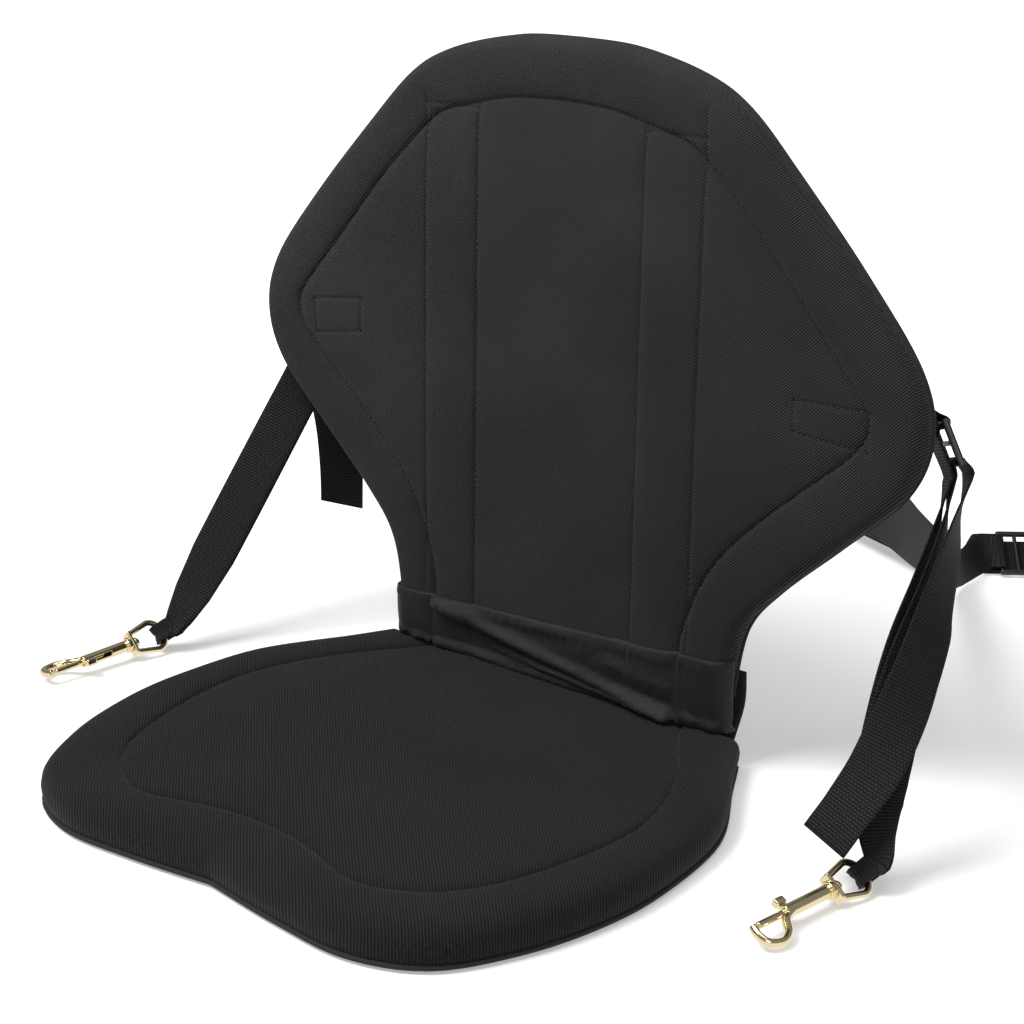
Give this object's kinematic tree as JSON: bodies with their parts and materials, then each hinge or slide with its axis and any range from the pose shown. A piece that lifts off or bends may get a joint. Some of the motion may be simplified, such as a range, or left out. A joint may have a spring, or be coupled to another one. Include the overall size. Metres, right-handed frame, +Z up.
{
  "type": "kayak seat",
  "caption": "Padded kayak seat with a flat pad, an upright winged back and four adjustable webbing straps that end in swivel bolt snaps.",
  "frame": {"origin": "middle of the pad's underside, on the floor", "axes": "+Z up, the seat faces -Y, and +X is to the right as the seat is seen from its front"},
  "size_m": [0.616, 0.9192, 0.4541],
  "materials": {
    "seat_cloth": "charcoal ribbed polyester, matte",
    "back_cloth": "charcoal fine-woven polyester, matte",
    "panel_cloth": "black coated pack cloth",
    "hinge_cloth": "black satin-faced nylon",
    "webbing": "black ribbed polypropylene webbing",
    "lock_plastic": "moulded black acetal",
    "stay_plastic": "cut sheet, pale grey",
    "brass": "polished brass plate"
  },
  "bodies": {
    "seat": {"seat_cushion": "seat_cloth", "seat_base_panel": "panel_cloth", "back_cushion": "back_cloth", "back_rear_panel": "panel_cloth", "hinge_cloth": "hinge_cloth", "hinge_backing": "panel_cloth", "stay_right": "stay_plastic", "stay_left": "stay_plastic", "stay_channel_right": "back_cloth", "stay_channel_left": "back_cloth", "front_tab_right": "webbing", "front_tab_left": "webbing", "rear_anchor_strap_right": "webbing", "rear_anchor_strap_left": "webbing", "front_strap_right": "webbing", "front_strap_left": "webbing", "rear_strap_right": "webbing", "rear_strap_left": "webbing", "ladder_lock_front_right": "lock_plastic", "ladder_lock_front_left": "lock_plastic", "ladder_lock_rear_right": "lock_plastic", "ladder_lock_rear_left": "lock_plastic", "snap_eye_front_right": "brass", "snap_eye_front_left": "brass", "snap_eye_rear_right": "brass", "snap_eye_rear_left": "brass"},
    "snap_front_right": {"snap_body_front_right": "brass"},
    "bolt_front_right": {"snap_bolt_front_right": "brass"},
    "snap_front_left": {"snap_body_front_left": "brass"},
    "bolt_front_left": {"snap_bolt_front_left": "brass"},
    "snap_rear_right": {"snap_body_rear_right": "brass"},
    "bolt_rear_right": {"snap_bolt_rear_right": "brass"},
    "snap_rear_left": {"snap_body_rear_left": "brass"},
    "bolt_rear_left": {"snap_bolt_rear_left": "brass"}
  },
  "joints": [
    {"name": "swivel_front_right", "type": "hinge", "parent": "seat", "child": "snap_front_right", "pos_m": [0.284, 0.0565, 0.0102], "axis": [-0.15, -0.9887, 0], "continuous": true},
    {"name": "bolt_slide_front_right", "type": "slide", "parent": "snap_front_right", "child": "bolt_front_right", "axis": [0.15, 0.9887, 0], "range_m": [0, 0.015], "stiffness_N_per_m": 200, "springref_m": -0.01},
    {"name": "swivel_front_left", "type": "hinge", "parent": "seat", "child": "snap_front_left", "pos_m": [-0.289, 0.0405, 0.012], "axis": [-0.1101, -0.9927, -0.05], "continuous": true},
    {"name": "bolt_slide_front_left", "type": "slide", "parent": "snap_front_left", "child": "bolt_front_left", "axis": [0.1101, 0.9927, 0.05], "range_m": [0, 0.015], "stiffness_N_per_m": 200, "springref_m": -0.01},
    {"name": "swivel_rear_right", "type": "hinge", "parent": "seat", "child": "snap_rear_right", "pos_m": [0.231, 0.7139, 0.0102], "axis": [0.9326, 0.361, 0], "continuous": true},
    {"name": "bolt_slide_rear_right", "type": "slide", "parent": "snap_rear_right", "child": "bolt_rear_right", "axis": [-0.9326, -0.361, 0], "range_m": [0, 0.015], "stiffness_N_per_m": 200, "springref_m": -0.01},
    {"name": "swivel_rear_left", "type": "hinge", "parent": "seat", "child": "snap_rear_left", "pos_m": [-0.231, 0.7139, 0.0102], "axis": [-0.9326, 0.361, 0], "continuous": true},
    {"name": "bolt_slide_rear_left", "type": "slide", "parent": "snap_rear_left", "child": "bolt_rear_left", "axis": [0.9326, -0.361, 0], "range_m": [0, 0.015], "stiffness_N_per_m": 200, "springref_m": -0.01}
  ]
}
